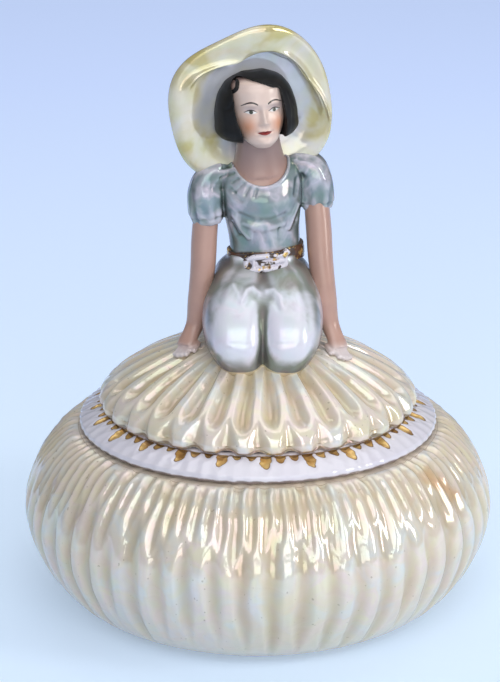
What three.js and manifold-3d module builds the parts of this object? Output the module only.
// Round porcelain powder box: a gathered, fluted bowl with a lift-off lid.
// A kneeling figure in a sun hat is luted to the lid's dome and serves as its handle.
// Millimetres, +Z up, front along -Y. The origin is the centre of the foot, on the table.
import * as THREE from 'three';
import { mergeVertices } from 'three/addons/utils/BufferGeometryUtils.js';
import Module from 'manifold-3d';

const wasm = await Module();
wasm.setup();
const { smoothstep, degToRad } = THREE.MathUtils;

// Clearances
const luteGap = 0.3; // between two cast pieces that are joined with slip
const seatGap = 0.3; // between the bowl's rim and the lid that rests on it
const locatingClearance = 1.1; // round the lid's ring in the bowl's mouth
const overrun = 2; // how far a cutting form runs past what it cuts

// Bowl
const bowlRadius = 65; // over the crests of the flutes
const bellyHeight = 27.2;
const bowlHeight = 49.6;
const mouthRadius = 44.6;
const rimWidth = 5.7;
const shoulderRadius = mouthRadius + rimWidth;
const mouthDepth = 4.5; // height of the straight bore in the mouth
const footRadius = 46.5;
const footRingWidth = 6;
const footRingHeight = 0.8;
const footRecess = 2;
const bowlWall = 3.4;
const bowlFloor = 4.2;
const bowlFluteDepth = 1.3;
const bowlFluteCount = 52;
const pleatsPerFlute = 2; // each flute of the belly is gathered into two pleats at the shoulder
const pleatDepth = 1;

// Lid
const frillLanding = 4.8; // how far the frill rests on the bowl's rim
const frillRadius = mouthRadius + frillLanding;
const frillWidth = 6.6; // out from the dome's foot
const frillSeat = 5.3; // in from the dome's foot
const domeFootRadius = frillRadius - frillWidth;
const frillBore = domeFootRadius - frillSeat;
const frillEdge = 3.3; // thickness of the frill at its outer edge
const frillEdgeRound = 1;
const frillRise = 5.5; // thickness of the frill under the dome
const dartDepth = 1.2;
const dartCount = 24; // long pleats pressed into the frill
const domeTuck = 1; // the dome draws in by this at its foot
const domeRadius = domeFootRadius + domeTuck;
const domeFootHeight = 2.3; // from the dome's foot up to its widest line
const domeHeight = 20;
const domeWall = 3.6;
const domeFluteDepth = 1.7;
const domeFluteCount = 32;
const locatingRingWidth = 2.6;
const locatingRingHeight = 5.2;
const locatingRingChamfer = 0.8;

// Legs, folded under the figure
const figureOffset = 1.2; // the figure is luted a little to the right of the middle
const figureSink = 6.5; // from the dome's top down to the lowest part of the knees
const legsHeight = 30;
const legsHalfWidth = 16.4;
const kneeReach = 26;
const heelReach = 17;
const shoeLength = 13;
const shoeHalfWidth = 4.2;
const shoeHeight = 7;
const shoeSpacing = 5.8;

// Body above the belt
const waistShift = 0.8;
const upperTurnDegrees = 13; // the body turns to its left
const upperLeanDegrees = -4.5; // and leans to its right
const torsoHeight = 26;
const torsoHalfWidth = 11.3;
const torsoHalfDepth = 7.6;
const skinRecess = 0.7; // the skin lies this far below the blouse
const necklineHalfWidth = 7.4;
const necklineDrop = 6.6;
const neckRadius = 5.8;
const neckLength = 12;
const beltHeight = 5;
const beltThickness = 1.2;
const beltBevel = 0.4;
const buckleWidth = 12.5;
const buckleHeight = 6.2;
const buckleThickness = 1.8;
const buckleRound = 1.4;

// Sleeves, arms and hands
const armReach = 15; // from the body's middle to the upper arm's axis
const sleeveRadius = 4.8;
const sleeveDrop = 16; // from the shoulders down to the cuff
const armRadius = 3.3;
const elbowBow = 0.6;
const wristRadius = 2.3;
const wristReach = 18.6;
const wristForward = 4.6;
const wristRise = 9.4; // above the lowest part of the knees
const handReach = 21.6;
const handForward = 9.4;
const palmHalfWidth = 2.7;
const palmHalfThickness = 1.6;
const fingerRadius = 0.8;
const fingerLength = 4.6;

// Head, hair and hat
const chinRise = 4.2; // above the shoulders
const headHeight = 19.8;
const headHalfWidth = 7.8;
const headHalfDepth = 8.4;
const headForward = 3.2; // the head stands this far before the body's axis
const noseLength = 4.6;
const noseReach = 1.5;
const noseHalfWidth = 1.2;
const hairThickness = 3.3;
const hairDrop = 1.2; // from the chin up to the ends of the bob
const faceHalfWidth = 6.9;
const brimRadius = 22.8;
const brimThickness = 2.4;
const brimFlare = 5.2; // how far the rolled rim stands before the crown
const brimRipple = 1.1;
const crownRadius = 13.6;
const crownDepth = 13;
const crownLift = 3.6; // the crown sits above the middle of the brim
const hatRise = 9.9; // from the chin up to the hat's axis
const hatSetBack = 0.9;
const hatSideShift = 0.6;
const hatLeanDegrees = 12;

// Facets
const ringSegments = 40;
const samplesPerFlute = 4;
const samplesPerDart = 4;
const bodySides = 16;
const limbSides = 10;
const fingerSides = 6;

// Levels and places that several pieces share
const lidLevel = bowlHeight + seatGap;
const domeLevel = lidLevel + frillRise;
const domeTop = domeLevel + domeHeight;
const kneeLevel = domeTop - figureSink;
const waistLevel = kneeLevel + legsHeight;
const headLevel = torsoHeight + chinRise; // above the waist
const upperFrame = new THREE.Matrix4()
  .makeTranslation(waistShift, 0, waistLevel)
  .multiply(new THREE.Matrix4().makeRotationY(degToRad(upperLeanDegrees)))
  .multiply(new THREE.Matrix4().makeRotationZ(degToRad(upperTurnDegrees)));

// A closed geometry becomes a manifold solid whose faces point outwards.
function solidOf(geometry) {
  const bare = geometry.clone();
  bare.deleteAttribute('normal');
  bare.deleteAttribute('uv');
  const merged = mergeVertices(bare, 1e-4);
  const index = merged.index.array;
  const corners = [];
  for (let i = 0; i < index.length; i += 3) {
    const [a, b, c] = index.slice(i, i + 3);
    if (a !== b && b !== c && c !== a) corners.push(a, b, c);
  }
  const build = (triangles) =>
    new wasm.Manifold(
      new wasm.Mesh({
        numProp: 3,
        vertProperties: new Float32Array(merged.attributes.position.array),
        triVerts: new Uint32Array(triangles),
      }),
    );
  const solid = build(corners);
  return solid.volume() < 0 ? build(corners.reverse()) : solid;
}

function geometryOf(solid) {
  const { vertProperties, triVerts } = solid.getMesh();
  return new THREE.BufferGeometry()
    .setAttribute('position', new THREE.BufferAttribute(vertProperties, 3))
    .setIndex(new THREE.BufferAttribute(triVerts, 1));
}

const join = (...solids) => solids.reduce((whole, solid) => whole.add(solid));

// Takes the cutters away and keeps the largest body, without the crumbs that a cut can leave.
function cut(solid, ...cutters) {
  const rest = cutters.reduce((left, cutter) => left.subtract(cutter), solid);
  return rest.decompose().reduce((best, body) => (body.volume() > best.volume() ? body : best));
}

// A quarter of a rounded form in a profile: level where it starts, upright where it ends.
function quarter([levelRadius, levelHeight], [uprightRadius, uprightHeight], fullnessShare, steps) {
  const curve = new THREE.CubicBezierCurve(
    new THREE.Vector2(levelRadius, levelHeight),
    new THREE.Vector2(levelRadius + (uprightRadius - levelRadius) * fullnessShare, levelHeight),
    new THREE.Vector2(uprightRadius, uprightHeight - (uprightHeight - levelHeight) * fullnessShare),
    new THREE.Vector2(uprightRadius, uprightHeight),
  );
  return curve.getPoints(steps).map((point) => point.toArray());
}

// Turns a profile of [radius, height] about Z. sinkAt(row, angle) presses each point in
// along the surface's normal, so that a revolved skin can be fluted.
function revolve(profile, segments, sinkAt = () => 0) {
  const points = profile.map(([radius, height]) => new THREE.Vector2(radius, height));
  const lathe = new THREE.LatheGeometry(points, segments);
  const { position, normal } = lathe.attributes;
  for (let i = 0; i < position.count; i += 1) {
    const row = i % profile.length;
    const angle = (Math.floor(i / profile.length) / segments) * 2 * Math.PI;
    const place = new THREE.Vector3().fromBufferAttribute(position, i);
    const outward = new THREE.Vector3().fromBufferAttribute(normal, i);
    place.addScaledVector(outward, -sinkAt(row, angle));
    position.setXYZ(i, place.x, place.y, place.z);
  }
  return solidOf(lathe.rotateX(Math.PI / 2));
}

// A closed skin through rings of points, with a fan over each end.
function skin(rings) {
  const sides = rings[0].length;
  const middle = (ring) =>
    ring.reduce((sum, point) => sum.add(point), new THREE.Vector3()).divideScalar(sides);
  const points = [...rings.flat(), middle(rings[0]), middle(rings.at(-1))];
  const index = [];
  rings.forEach((ring, row) => {
    ring.forEach((_, side) => {
      const [a, b] = [row * sides + side, row * sides + ((side + 1) % sides)];
      if (row === 0) index.push(points.length - 2, b, a);
      if (row < rings.length - 1) index.push(a, b, b + sides, a, b + sides, a + sides);
      else index.push(a, b, points.length - 1);
    });
  });
  return solidOf(new THREE.BufferGeometry().setFromPoints(points).setIndex(index));
}

// A level oval whose front and back can differ in depth. A roundness below 1 squares it.
function oval({ x = 0, y = 0, z, halfWidth, front, back, roundness = 1 }, sides) {
  const rounded = (value) => Math.sign(value) * Math.abs(value) ** roundness;
  return Array.from({ length: sides }, (_, side) => {
    const angle = (side / sides) * 2 * Math.PI;
    const [across, inward] = [rounded(Math.cos(angle)), rounded(Math.sin(angle))];
    const depth = inward < 0 ? front : back;
    return new THREE.Vector3(x + halfWidth * across, y + depth * inward, z);
  });
}

// A limb along a smooth path, through stations of { at, radius, flat }. flat is its half
// thickness square to the direction across, and radius its half width along it.
function limb(stations, sides, grow = 0, across = new THREE.Vector3(1, 0, 0)) {
  const curve = new THREE.CatmullRomCurve3(stations.map((station) => station.at));
  const last = stations.length - 1;
  const rings = stations.map(({ at, radius, flat = radius }, i) => {
    const along = curve.getTangent(i / last);
    const end = i === 0 ? -grow : i === last ? grow : 0;
    const wide = across.clone().addScaledVector(along, -along.dot(across)).normalize();
    const over = along.clone().cross(wide);
    return Array.from({ length: sides }, (_, side) => {
      const angle = (side / sides) * 2 * Math.PI;
      return at
        .clone()
        .addScaledVector(along, end)
        .addScaledVector(wide, (radius + grow) * Math.cos(angle))
        .addScaledVector(over, (flat + grow) * Math.sin(angle));
    });
  });
  return skin(rings);
}

// Rises from 0 to 1, holds and falls back, at the four given shares of the way.
function swell(share, [start, full, ease, end]) {
  return smoothstep(share, start, full) * (1 - smoothstep(share, ease, end));
}

// Depth of a row of flutes: 1 in the valleys and 0 on the crests. shift is in flutes.
const fluteAt = (angle, count, shift) => (1 - Math.cos(count * angle + shift * 2 * Math.PI)) / 2;

// Bowl: flutes over the belly, gathered into finer pleats on the shoulder.
function makeBowl() {
  const bellySteps = 4;
  const shoulderSteps = 4;
  const bellyFullnessShare = 0.42;
  const shoulderFullnessShare = 0.41;
  const bellyFluteShares = [0.02, 0.3, 0.66, 0.86];
  const shoulderPleatShares = [0.7, 0.83, 0.93, 1];
  const belly = [bowlRadius, bellyHeight];
  const innerBelly = [bowlRadius - bowlFluteDepth - bowlWall, bellyHeight];
  const floor = footRecess + bowlFloor;
  const profile = [
    [0, 0],
    [footRadius, 0],
    ...quarter([footRadius, footRingHeight], belly, bellyFullnessShare, bellySteps),
    ...quarter([shoulderRadius, bowlHeight], belly, shoulderFullnessShare, shoulderSteps).reverse().slice(1),
    [0, bowlHeight],
  ];
  const sinkAt = (row, angle) => {
    const share = (profile[row][1] - footRingHeight) / (bowlHeight - footRingHeight);
    if (share <= 0 || profile[row][0] < footRadius) return 0;
    const flute = swell(share, bellyFluteShares) * fluteAt(angle, bowlFluteCount, 0);
    const pleat = swell(share, shoulderPleatShares) * fluteAt(angle, bowlFluteCount * pleatsPerFlute, 0);
    return bowlFluteDepth * flute + pleatDepth * pleat;
  };
  const body = revolve(profile, bowlFluteCount * samplesPerFlute, sinkAt);
  const mouthFoot = bowlHeight - mouthDepth;
  const hollow = [
    [0, floor],
    ...quarter([footRadius - bowlWall, floor], innerBelly, bellyFullnessShare, bellySteps),
    ...quarter([mouthRadius, mouthFoot], innerBelly, shoulderFullnessShare, bellySteps).reverse().slice(1),
    [mouthRadius, bowlHeight + overrun],
    [0, bowlHeight + overrun],
  ];
  const footBore = footRadius - footRingWidth;
  const recess = [[0, -overrun], [footBore, -overrun], [footBore, footRecess], [0, footRecess]];
  return cut(body, revolve(hollow, ringSegments), revolve(recess, ringSegments));
}

// Lid frill: a white collar with pleats that are pressed in where it leaves the dome.
function makeFrill() {
  const slopeShares = [0, 0.45, 1];
  const longDartShares = [-1, -0.5, 0.3, 1];
  const shortDartShares = [-1, -0.5, 0, 0.6];
  const shortDartDepthShare = 0.6;
  const slopeStart = domeFootRadius;
  const slopeEnd = frillRadius - frillEdgeRound;
  const edgeLevel = lidLevel + frillEdge;
  const slope = slopeShares.map((share) => [
    slopeEnd + (slopeStart - slopeEnd) * (1 - share),
    edgeLevel + (domeLevel - edgeLevel) * (1 - share),
  ]);
  const profile = [
    [frillBore, lidLevel],
    [frillRadius - frillEdgeRound, lidLevel],
    [frillRadius, lidLevel + frillEdgeRound],
    [frillRadius, edgeLevel - frillEdgeRound],
    ...slope.reverse(),
    [frillBore, domeLevel],
    [frillBore, lidLevel],
  ];
  const sinkAt = (row, angle) => {
    const place = profile.length - 3 - row;
    if (place < 0 || place >= slopeShares.length) return 0;
    const sample = Math.round((angle * dartCount * samplesPerDart) / (2 * Math.PI)) % samplesPerDart;
    const share = slopeShares[place];
    if (sample === 0) return dartDepth * swell(share, longDartShares);
    if (sample % 2 === 0) return dartDepth * shortDartDepthShare * swell(share, shortDartShares);
    return 0;
  };
  return revolve(profile, dartCount * samplesPerDart, sinkAt);
}

function makeLocatingRing() {
  const outer = mouthRadius - locatingClearance;
  const top = lidLevel - luteGap;
  const foot = top - locatingRingHeight;
  const profile = [
    [outer - locatingRingWidth, foot],
    [outer - locatingRingChamfer, foot],
    [outer, foot + locatingRingChamfer],
    [outer, top],
    [outer - locatingRingWidth, top],
    [outer - locatingRingWidth, foot],
  ];
  return revolve(profile, ringSegments);
}

// Where the dome's curve is sampled, from the axis to its widest line.
const domeSkinShares = [0, 0.2, 0.38, 0.5, 0.61, 0.72, 0.82, 0.91, 1];
const domeHollowShares = [0, 0.35, 0.65, 1];

// The dome's outer curve, from the axis down to its widest line, moved out by grow.
function domeCurve(grow, shares = domeSkinShares) {
  const crownReachShare = 0.41;
  const crownRiseShare = 1.1;
  const sideRiseShare = 0.26;
  const radius = domeRadius + grow;
  const widest = domeLevel + domeFootHeight;
  const curve = new THREE.CubicBezierCurve(
    new THREE.Vector2(0, domeTop + grow),
    new THREE.Vector2(radius * crownReachShare, domeLevel + domeHeight * crownRiseShare + grow),
    new THREE.Vector2(radius, widest + domeHeight * sideRiseShare + grow),
    new THREE.Vector2(radius, widest),
  );
  return shares.map((share) => curve.getPoint(share).toArray());
}

// Lid dome: its flutes end in puffs, and a second row starts between them at the foot.
function makeDome() {
  const upperFluteShares = [0.25, 0.5, 0.72, 0.86];
  const footFluteShares = [0.7, 0.9, 1.5, 2];
  const footShare = 1.1;
  const foot = domeLevel + luteGap;
  const profile = [[0, foot], [domeFootRadius, foot], ...domeCurve(0).reverse()];
  const sinkAt = (row, angle) => {
    if (row === 0) return 0;
    const share = row === 1 ? footShare : domeSkinShares.at(1 - row);
    return (
      domeFluteDepth *
      (swell(share, upperFluteShares) * fluteAt(angle, domeFluteCount, 0) +
        swell(share, footFluteShares) * fluteAt(angle, domeFluteCount, 1 / 2))
    );
  };
  const body = revolve(profile, domeFluteCount * samplesPerFlute, sinkAt);
  const inner = domeCurve(-domeWall - domeFluteDepth / 2, domeHollowShares).reverse();
  const floor = domeLevel - overrun;
  const hollow = [[0, floor], [inner[0][0], floor], ...inner];
  return cut(body, revolve(hollow, ringSegments));
}

// What the dome takes up, with the lute gap round it, for the pieces that stand on it.
function domeSeat() {
  const curve = domeCurve(luteGap).reverse();
  const floor = domeLevel - overrun;
  const seat = revolve([[0, floor], [curve[0][0], floor], ...curve], ringSegments);
  return seat.translate([-figureOffset, 0, 0]);
}

// Height of the dome's seat at a place in the figure's own frame.
function seatLevel(x, y) {
  const reach = Math.hypot(x + figureOffset, y);
  const curve = domeCurve(luteGap);
  const next = curve.findIndex(([radius]) => radius >= reach);
  const [[innerRadius, innerLevel], [outerRadius, outerLevel]] = [curve[next - 1], curve[next]];
  const share = (reach - innerRadius) / (outerRadius - innerRadius);
  return innerLevel + (outerLevel - innerLevel) * share;
}

// A stack of ovals becomes a solid. grow moves its skin and both of its ends out.
function stack(ovals, grow, sides = bodySides) {
  const last = ovals.length - 1;
  return skin(
    ovals.map(({ x, y, z, halfWidth, front, back, roundness }, i) => {
      const end = i === 0 ? -grow : i === last ? grow : 0;
      const grown = { halfWidth: halfWidth + grow, front: front + grow, back: back + grow };
      return oval({ x, y, z: z + end, roundness, ...grown }, sides);
    }),
  );
}

// Folded legs in trousers: two thighs side by side, and the hips that join them.
function legsForm(grow) {
  // level, place off the middle, half width, front, back
  const thighShares = [
    [0, 0.3, 0.36, 0.77, 0.7],
    [0.08, 0.345, 0.445, 0.9, 0.8],
    [0.2, 0.395, 0.535, 0.98, 0.85],
    [0.37, 0.42, 0.58, 1, 0.82],
    [0.5, 0.42, 0.575, 0.92, 0.74],
    [0.64, 0.395, 0.545, 0.76, 0.62],
    [0.77, 0.35, 0.48, 0.56, 0.5],
    [0.88, 0.3, 0.41, 0.39, 0.43],
    [0.94, 0.26, 0.33, 0.3, 0.38],
    [1, 0.24, 0.31, 0.27, 0.37],
  ];
  const hipShares = [
    [0.1, 0, 0.3, 0.7, 0.8],
    [0.37, 0, 0.36, 0.8, 0.82],
    [0.6, 0, 0.5, 0.66, 0.64],
    [0.77, 0, 0.78, 0.49, 0.5],
    [0.88, 0, 0.68, 0.34, 0.46],
    [0.94, 0, 0.58, 0.28, 0.4],
    [1, 0, 0.55, 0.26, 0.38],
  ];
  const thighRoundness = 0.7;
  const build = (shares, side) =>
    stack(
      shares.map(([level, place, width, front, back]) => ({
        roundness: thighRoundness,
        x: side * place * legsHalfWidth,
        z: kneeLevel + level * legsHeight,
        halfWidth: width * legsHalfWidth,
        front: front * kneeReach,
        back: back * heelReach,
      })),
      grow,
    );
  return join(build(thighShares, -1), build(thighShares, 1), build(hipShares, 0));
}

// A shoe behind the folded legs, with its sole turned up and back.
function shoeForm(side) {
  const startShare = 0.35; // of its length, under the legs
  // place along the shoe, drop, half width, half height
  const shoeShares = [
    [0, 0, 0.9, 0.5],
    [0.33, 0, 1, 0.5],
    [0.67, 0.16, 0.85, 0.36],
    [1, 0.4, 0.4, 0.16],
  ];
  const start = heelReach - shoeLength * startShare;
  const stations = shoeShares.map(([place, drop, width, height]) => ({
    at: new THREE.Vector3(side * shoeSpacing, start + place * shoeLength, domeTop - drop * shoeHeight),
    radius: width * shoeHalfWidth,
    flat: height * shoeHeight,
  }));
  return limb(stations, limbSides);
}

const raise = (solid) => solid.transform(upperFrame.elements);

// Blouse, from the belt to the shoulders.
function torsoForm(grow) {
  // level, half width, front, back
  const torsoShares = [
    [-0.08, 0.85, 0.91, 0.87],
    [0, 0.85, 0.92, 0.87],
    [0.19, 0.86, 0.95, 0.9],
    [0.4, 0.92, 1.1, 0.92],
    [0.57, 0.97, 1.18, 0.95],
    [0.74, 1, 1.04, 0.95],
    [0.87, 0.95, 0.86, 0.88],
    [0.95, 0.8, 0.68, 0.76],
    [1, 0.56, 0.48, 0.58],
  ];
  const ovals = torsoShares.map(([level, width, front, back]) => ({
    z: level * torsoHeight,
    halfWidth: width * torsoHalfWidth,
    front: front * torsoHalfDepth,
    back: back * torsoHalfDepth,
  }));
  return raise(stack(ovals, grow));
}

// The neckline, as an oval prism that opens the front of the blouse.
function necklineForm(grow) {
  const depth = torsoHalfDepth + overrun;
  const prism = new THREE.CylinderGeometry(1, 1, 1, bodySides)
    .scale(necklineHalfWidth + grow, depth + 2 * grow, necklineDrop + grow)
    .translate(0, -depth / 2 - luteGap, torsoHeight);
  return raise(solidOf(prism));
}

function neckForm(grow) {
  // place along the neck, reach forward, radius
  const neckShares = [
    [0, 0.2, 1.35],
    [0.45, 0.45, 1.08],
    [1, 0.75, 0.92],
  ];
  const depthShare = 0.84;
  const base = headLevel + headHalfDepth / 2 - neckLength;
  const stations = neckShares.map(([place, reach, radius]) => ({
    at: new THREE.Vector3(0, -reach * headForward, base + place * neckLength),
    radius: radius * neckRadius,
    flat: depthShare * radius * neckRadius,
  }));
  return raise(limb(stations, limbSides, grow));
}

// A plain head: an egg with the chin set forward, and a nose.
function headForm(grow) {
  // level, half width, place of the middle, half depth
  const skullShares = [
    [0, 0.26, -0.55, 0.25],
    [0.06, 0.48, -0.42, 0.48],
    [0.18, 0.7, -0.22, 0.73],
    [0.34, 0.87, -0.08, 0.88],
    [0.5, 0.96, -0.01, 0.94],
    [0.66, 1, 0.03, 0.97],
    [0.8, 0.95, 0.05, 0.91],
    [0.92, 0.74, 0.06, 0.68],
    [1, 0.34, 0.04, 0.27],
  ];
  const noseLevelShare = 0.38;
  const noseSetShare = 0.94;
  const ovals = skullShares.map(([level, width, place, depth]) => ({
    y: place * headHalfDepth - headForward,
    z: headLevel + level * headHeight,
    halfWidth: width * headHalfWidth,
    front: depth * headHalfDepth,
    back: depth * headHalfDepth,
  }));
  const nose = new THREE.SphereGeometry(1, limbSides, limbSides / 2)
    .scale(noseHalfWidth + grow, noseReach + grow, noseLength / 2 + grow)
    .translate(0, -headForward - noseSetShare * headHalfDepth, headLevel + noseLevelShare * headHeight);
  return raise(join(stack(ovals, grow), solidOf(nose)));
}

// A bob that hangs straight from the crown of the head to the jaw.
function hairForm(grow) {
  // level, half width, front, back
  const bobShares = [
    [0, 0.84, 0.8, 0.58],
    [0.08, 0.95, 0.88, 0.7],
    [0.3, 1, 0.92, 0.92],
    [0.55, 0.95, 0.92, 1],
    [0.78, 0.8, 0.82, 0.86],
    [0.93, 0.55, 0.58, 0.62],
    [1, 0.26, 0.24, 0.28],
  ];
  const foot = headLevel + hairDrop;
  const height = headHeight - hairDrop + hairThickness / 2;
  const ovals = bobShares.map(([level, width, front, back]) => ({
    y: -headForward,
    z: foot + level * height,
    halfWidth: width * (headHalfWidth + hairThickness),
    front: front * (headHalfDepth + hairThickness / 2),
    back: back * (headHalfDepth + hairThickness),
  }));
  return raise(stack(ovals, grow));
}

// The opening of the bob round the face: parted high on the right, and swept over the brow.
function faceWindow() {
  // place off the middle, level above the chin
  const outlineShares = [
    [-0.52, 1],
    [-0.2, 0.94],
    [0.17, 0.87],
    [0.49, 0.81],
    [0.74, 0.79],
    [0.8, 0.64],
    [0.9, 0.36],
    [0.83, -0.15],
    [-0.74, -0.15],
    [-0.75, 0.06],
    [-0.87, 0.23],
    [-1.01, 0.4],
    [-1.06, 0.55],
    [-1.03, 0.74],
    [-0.95, 0.88],
    [-0.74, 0.97],
  ];
  const frontShare = 0.1;
  const depth = headHalfDepth + hairThickness + overrun;
  const corners = outlineShares.map(
    ([place, level]) => new THREE.Vector2(place * faceHalfWidth, level * headHeight),
  );
  const prism = new THREE.ExtrudeGeometry(new THREE.Shape(corners), { depth, bevelEnabled: false })
    .rotateX(Math.PI / 2)
    .translate(0, -headForward - frontShare * headHalfDepth, headLevel);
  return raise(solidOf(prism));
}

// Sun hat: a round crown behind the head, and a wide, uneven brim with a rolled rim.
function hatForm() {
  // reach of the brim every 30 degrees, from the top and on towards the figure's left
  const brimShares = [1.035, 0.985, 0.9, 0.88, 0.955, 0.965, 0.91, 0.965, 1.015, 1, 1.035, 0.96];
  // the brim's section, over its back, round the rim and in over its front: reach, rise
  const sectionShares = [
    [0.79, 0],
    [0.96, 0.2],
    [1, 0.5],
    [0.98, 0.76],
    [0.93, 0.94],
    [0.87, 1],
    [0.79, 0.88],
    [0.7, 0.66],
    [0.57, 0.4],
  ];
  const crownFullnessShare = 0.55;
  const crownEdgeShare = 0.25;
  const crownSteps = 4;
  const segments = 30;
  const rippleCount = 3;
  const edge = brimThickness / 2;
  const profile = [
    ...quarter([0, -crownDepth], [crownRadius, -crownDepth * crownEdgeShare], crownFullnessShare, crownSteps),
    [crownRadius + edge, -edge],
    ...sectionShares.map(([reach, rise]) => [reach * brimRadius, rise * brimFlare]),
    [0, edge],
  ];
  const points = profile.map(([radius, height]) => new THREE.Vector2(radius, height));
  const lathe = new THREE.LatheGeometry(points, segments).rotateX(Math.PI / 2);
  const outline = new THREE.CatmullRomCurve3(
    brimShares.map((share) => new THREE.Vector3(share, 0, 0)),
    true,
  );
  const { position } = lathe.attributes;
  for (let i = 0; i < position.count; i += 1) {
    const [x, y, z] = [position.getX(i), position.getY(i), position.getZ(i)];
    const turn = (Math.atan2(x, y) / (2 * Math.PI) + 1) % 1;
    const out = smoothstep(Math.hypot(x, y), crownRadius, brimRadius);
    const stretch = 1 + (outline.getPoint(turn).x - 1) * out;
    const ripple = brimRipple * out * Math.cos(rippleCount * turn * 2 * Math.PI);
    position.setXYZ(i, x * stretch, y * stretch + crownLift * (1 - out), z + ripple);
  }
  const hat = lathe
    .rotateX(Math.PI / 2 + degToRad(hatLeanDegrees))
    .translate(hatSideShift, hatSetBack, headLevel + hatRise);
  return raise(solidOf(hat));
}

// Puffed sleeve, from inside the shoulder to the cuff.
function sleeveForm(side, grow) {
  // reach from the middle, level below the shoulders, radius
  const sleeveShares = [
    [0.45, 0.2, 0.6],
    [0.92, 0.25, 0.8],
    [0.99, 0.46, 1.02],
    [1.02, 0.72, 1],
    [1.01, 1, 0.84],
  ];
  const stations = sleeveShares.map(([reach, drop, radius]) => ({
    at: new THREE.Vector3(side * reach * armReach, 0, torsoHeight - drop * sleeveDrop),
    radius: radius * sleeveRadius,
  }));
  return raise(limb(stations, limbSides, grow));
}

// Arm from inside the cuff to the wrist, and a hand whose fingers lie flat on the dome.
function armForm(side) {
  const startShare = 0.7; // of the sleeve's length
  // place between shoulder and wrist, bow, radius
  const armShares = [
    [0, 0, 1],
    [0.28, 0, 1.02],
    [0.52, 1, 0.94],
    [0.78, 0.5, 0.84],
  ];
  const knuckleShare = 0.55; // of the way from the wrist to the palm
  const fingerPlaceShares = [-0.75, -0.25, 0.25, 0.75];
  const fingerFanShare = 0.14;
  const fingerStationShares = [-0.4, 0.4, 1];
  const thumbPlaceShare = -1.1 * side;
  const thumbLengthShare = 0.7;
  const shoulder = new THREE.Vector3(side * armReach, 0, torsoHeight - startShare * sleeveDrop);
  shoulder.applyMatrix4(upperFrame);
  const wrist = new THREE.Vector3(side * wristReach, -wristForward, kneeLevel + wristRise);
  const palm = new THREE.Vector3(side * handReach, -handForward, 0);
  palm.z = seatLevel(palm.x, palm.y) + palmHalfThickness;
  const reach = new THREE.Vector3(palm.x - wrist.x, palm.y - wrist.y, 0).normalize();
  const across = new THREE.Vector3(0, 0, 1).cross(reach);
  const outAndBack = new THREE.Vector3(side * elbowBow, elbowBow, 0);
  const arm = armShares.map(([place, bow, radius]) => ({
    at: shoulder.clone().lerp(wrist, place).addScaledVector(outAndBack, bow),
    radius: radius * armRadius,
  }));
  const hand = [
    { at: wrist, radius: wristRadius },
    { at: wrist.clone().lerp(palm, knuckleShare), radius: palmHalfWidth, flat: palmHalfThickness },
    { at: palm, radius: palmHalfWidth, flat: palmHalfThickness },
  ];
  const finger = (place, length) => {
    const way = reach.clone().addScaledVector(across, place * fingerFanShare);
    const stations = fingerStationShares.map((share) => {
      const at = palm.clone().addScaledVector(across, place * (palmHalfWidth - fingerRadius));
      at.addScaledVector(way, share * length);
      at.z = seatLevel(at.x, at.y) + fingerRadius;
      return { at, radius: fingerRadius };
    });
    return limb(stations, fingerSides, 0, across);
  };
  return join(
    limb([...arm, ...hand], limbSides, 0, across),
    ...fingerPlaceShares.map((place) => finger(place, fingerLength)),
    finger(thumbPlaceShare, fingerLength * thumbLengthShare),
  );
}

// A band round the waist, over the blouse's hem, that stands out from the blouse.
function waistBand(standOut, height, bevel) {
  const lowerShare = 0.55; // of its height, below the waist
  const waistWidthShare = 0.86;
  const waistDepthShare = 0.93;
  const levels = [0, bevel, height - bevel, height];
  const ovals = levels.map((level) => {
    const inset = level === 0 || level === height ? bevel : 0;
    return {
      z: level - lowerShare * height,
      halfWidth: waistWidthShare * torsoHalfWidth + standOut - inset,
      front: waistDepthShare * torsoHalfDepth + standOut - inset,
      back: waistDepthShare * torsoHalfDepth + standOut - inset,
    };
  });
  return raise(stack(ovals, 0));
}

const beltForm = (grow) => waistBand(beltThickness + grow, beltHeight + 2 * grow, beltBevel);

// A raised buckle plate that follows the belt round the front.
function buckleForm() {
  const [halfWidth, halfHeight, corner] = [buckleWidth / 2, buckleHeight / 2, buckleRound];
  const outline = new THREE.Shape();
  for (const [sideX, sideZ] of [[1, -1], [1, 1], [-1, 1], [-1, -1]]) {
    const [x, z] = [sideX * (halfWidth - corner), sideZ * (halfHeight - corner)];
    const start = Math.atan2(sideZ, sideX) - Math.PI / 4;
    outline.absarc(x, z, corner, start, start + Math.PI / 2, false);
  }
  const reach = torsoHalfDepth + beltThickness + buckleThickness + overrun;
  const prism = new THREE.ExtrudeGeometry(outline, { depth: reach, bevelEnabled: false, curveSegments: 3 });
  const plate = raise(solidOf(prism.rotateX(Math.PI / 2)));
  return plate.intersect(waistBand(beltThickness + buckleThickness, buckleHeight + overrun, beltBevel));
}

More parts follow.
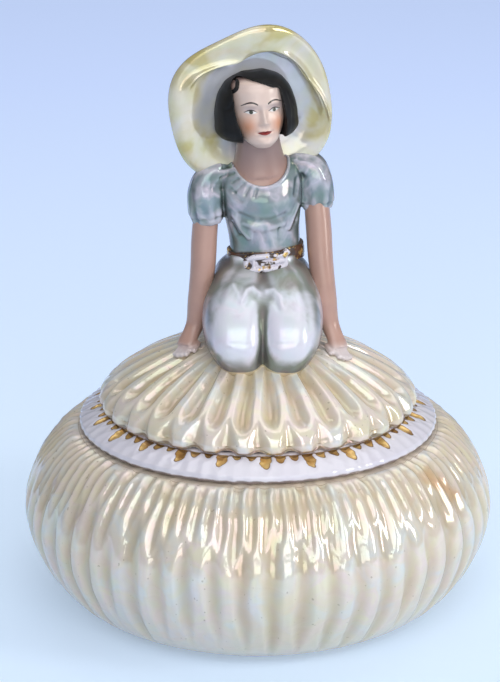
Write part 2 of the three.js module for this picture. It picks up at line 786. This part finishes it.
// Pieces. Each is cut back from the ones it is luted to.
const seat = domeSeat();
const legs = cut(legsForm(0), seat);
const chest = torsoForm(-skinRecess).intersect(necklineForm(0));
const bust = join(chest, neckForm(0), headForm(0));
const bustRoom = join(neckForm(luteGap), headForm(luteGap));
const legsRoom = legsForm(luteGap);
const torso = cut(torsoForm(0), necklineForm(luteGap), bustRoom, legsRoom);
const torsoRoom = torsoForm(luteGap);
const belt = cut(beltForm(0), torsoRoom, legsRoom);
const buckle = cut(buckleForm(), beltForm(luteGap), torsoRoom, legsRoom);
const hair = cut(hairForm(0), faceWindow(), bustRoom);
const makeSleeve = (side) => cut(sleeveForm(side, 0), torsoRoom, bustRoom);
const makeArm = (side) => cut(armForm(side), sleeveForm(side, luteGap), torsoRoom, legsRoom, seat);
const makeShoe = (side) => cut(shoeForm(side), legsRoom, seat);
const sleevesRoom = join(sleeveForm(-1, luteGap), sleeveForm(1, luteGap));
const hat = cut(hatForm(), hairForm(luteGap), bustRoom, torsoRoom, sleevesRoom);

// Glazes
const glaze = (color, roughness) => new THREE.MeshStandardMaterial({ color, roughness, metalness: 0 });
const pearlLustre = glaze(0xd9d0bd, 0.18);
const whiteGlaze = glaze(0xe9e4e8, 0.3);
const pearlWhite = glaze(0xdfe0dc, 0.22);
const yellowLustre = glaze(0xd8b968, 0.22);
const skinGlaze = glaze(0xd9a48c, 0.35);
const blackGlaze = glaze(0x1c1a1c, 0.2);
const brownGlaze = glaze(0x7b5a34, 0.3);
const paleGold = glaze(0xe3d9c0, 0.28);

function mesh(name, solid, material) {
  const piece = new THREE.Mesh(geometryOf(solid), material);
  piece.name = name;
  return piece;
}

const figure = new THREE.Group();
figure.position.x = figureOffset;
figure.add(
  mesh('figure_legs', legs, pearlWhite),
  mesh('figure_torso', torso, pearlWhite),
  mesh('neck_and_head', bust, skinGlaze),
  mesh('belt', belt, brownGlaze),
  mesh('belt_buckle', buckle, paleGold),
  mesh('hair', hair, blackGlaze),
  mesh('sun_hat', hat, yellowLustre),
);
// The figure's own left is on +X, the viewer's right.
for (const [name, side] of [['right', -1], ['left', 1]]) {
  figure.add(
    mesh(`${name}_sleeve`, makeSleeve(side), pearlWhite),
    mesh(`${name}_arm`, makeArm(side), skinGlaze),
    mesh(`${name}_shoe`, makeShoe(side), blackGlaze),
  );
}

const lid = new THREE.Group();
lid.add(
  mesh('lid_frill', makeFrill(), whiteGlaze),
  mesh('lid_dome', makeDome(), pearlLustre),
  mesh('locating_ring', makeLocatingRing(), whiteGlaze),
  figure,
);

const powderBox = new THREE.Group();
powderBox.add(mesh('bowl', makeBowl(), pearlLustre), lid);

export default powderBox;
